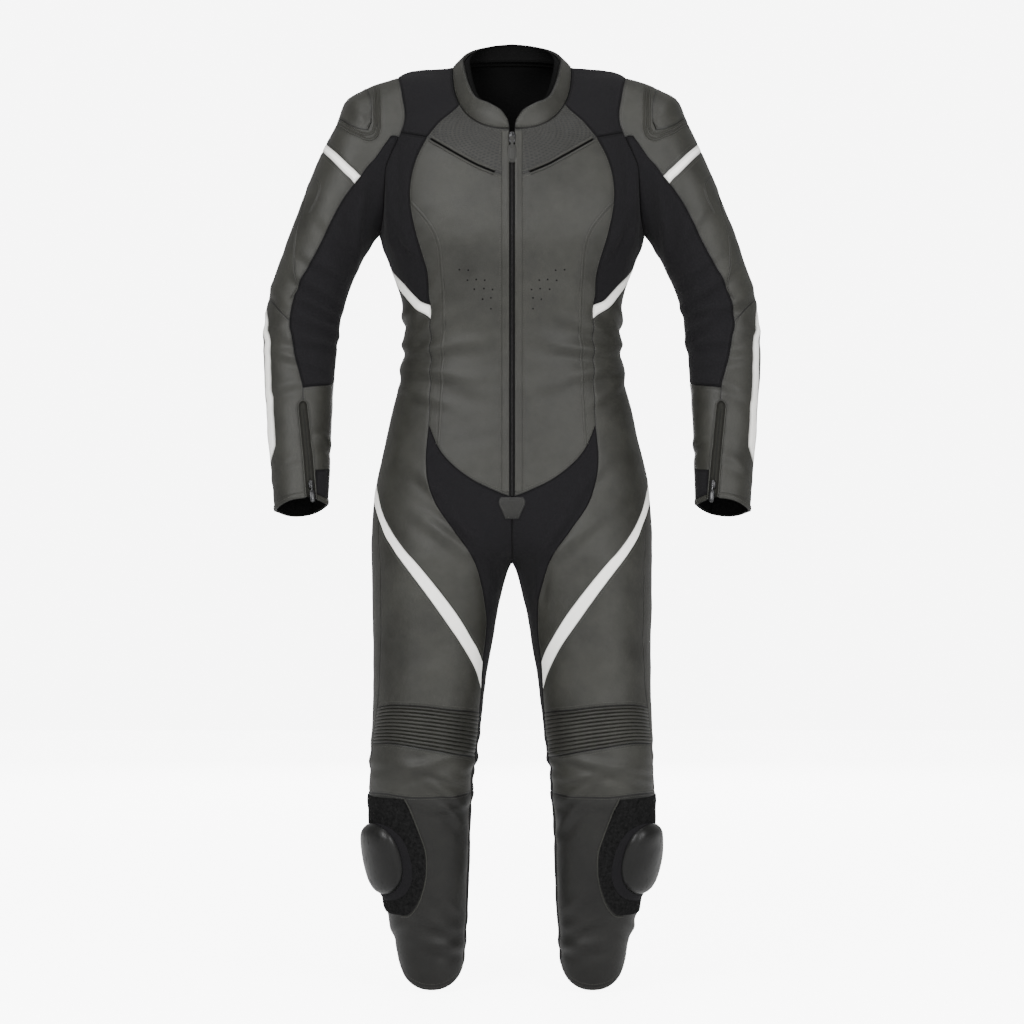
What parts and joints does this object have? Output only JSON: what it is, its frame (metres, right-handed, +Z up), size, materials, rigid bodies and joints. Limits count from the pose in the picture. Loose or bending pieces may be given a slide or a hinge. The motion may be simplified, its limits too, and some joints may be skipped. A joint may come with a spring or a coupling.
{
  "type": "one-piece motorcycle race suit",
  "caption": "Filled-out one-piece leather and stretch race suit with stand collar, front zip, shoulder cups, ribbed knee panels, knee sliders and zipped cuffs.",
  "frame": {"origin": "between the shoulders, level with the top of the shoulder line, where the wearer carries the suit", "axes": "+Z up along the body, -Y out of the front, +X to the wearer's left"},
  "size_m": [0.7186, 0.25, 1.3776],
  "materials": {
    "leather": "grained, semi-matt",
    "stretch": "matt",
    "white_leather": "grained, semi-matt",
    "hook_loop": "brushed loop",
    "hard_plastic": "satin",
    "zip_metal": "black oxide"
  },
  "bodies": {
    "suit": {"collar": "leather", "back": "leather", "zip_tab": "leather", "chest_l": "leather", "chest_r": "leather", "front_l": "leather", "front_r": "leather", "flank_l": "leather", "flank_r": "leather", "seat_l": "leather", "seat_r": "leather", "thigh_l": "leather", "thigh_r": "leather", "thigh_side_l": "leather", "thigh_side_r": "leather", "knee_l": "leather", "knee_r": "leather", "shin_l": "leather", "shin_r": "leather", "shoulder_l": "leather", "shoulder_r": "leather", "shoulder_cup_l": "leather", "shoulder_cup_r": "leather", "upper_arm_l": "leather", "upper_arm_r": "leather", "forearm_l": "leather", "forearm_r": "leather", "wrist_l": "leather", "wrist_r": "leather", "collar_lining": "stretch", "yoke_l": "stretch", "yoke_r": "stretch", "side_l": "stretch", "side_r": "stretch", "crotch_l": "stretch", "crotch_r": "stretch", "knee_ribs_l": "stretch", "knee_ribs_r": "stretch", "calf_l": "stretch", "calf_r": "stretch", "arm_stretch_l": "stretch", "arm_stretch_r": "stretch", "torso_stripe_l": "white_leather", "torso_stripe_r": "white_leather", "thigh_stripe_l": "white_leather", "thigh_stripe_r": "white_leather", "arm_band_l": "white_leather", "arm_band_r": "white_leather", "arm_stripe_l": "white_leather", "arm_stripe_r": "white_leather", "loop_patch_l": "hook_loop", "loop_patch_r": "hook_loop", "knee_slider_l": "hard_plastic", "knee_slider_r": "hard_plastic", "zip": "zip_metal", "cuff_zip_l": "zip_metal", "cuff_zip_r": "zip_metal"},
    "main_pull": {"pull": "zip_metal"},
    "cuff_pull_left": {"cuff_pull_l": "zip_metal"},
    "cuff_pull_right": {"cuff_pull_r": "zip_metal"}
  },
  "joints": [
    {"name": "main_pull_hinge", "type": "hinge", "parent": "suit", "child": "main_pull", "pos_m": [0, -0.10535, -0.10175], "axis": [-1, 0, 0], "range_deg": [0, 140]},
    {"name": "cuff_pull_left_hinge", "type": "hinge", "parent": "suit", "child": "cuff_pull_left", "pos_m": [0.28423, -0.11296, -0.59525], "axis": [-0.9362, 0.3514, 0.0021], "range_deg": [0, 140]},
    {"name": "cuff_pull_right_hinge", "type": "hinge", "parent": "suit", "child": "cuff_pull_right", "pos_m": [-0.28423, -0.11296, -0.59525], "axis": [-0.9362, -0.3514, -0.0021], "range_deg": [0, 140]}
  ]
}
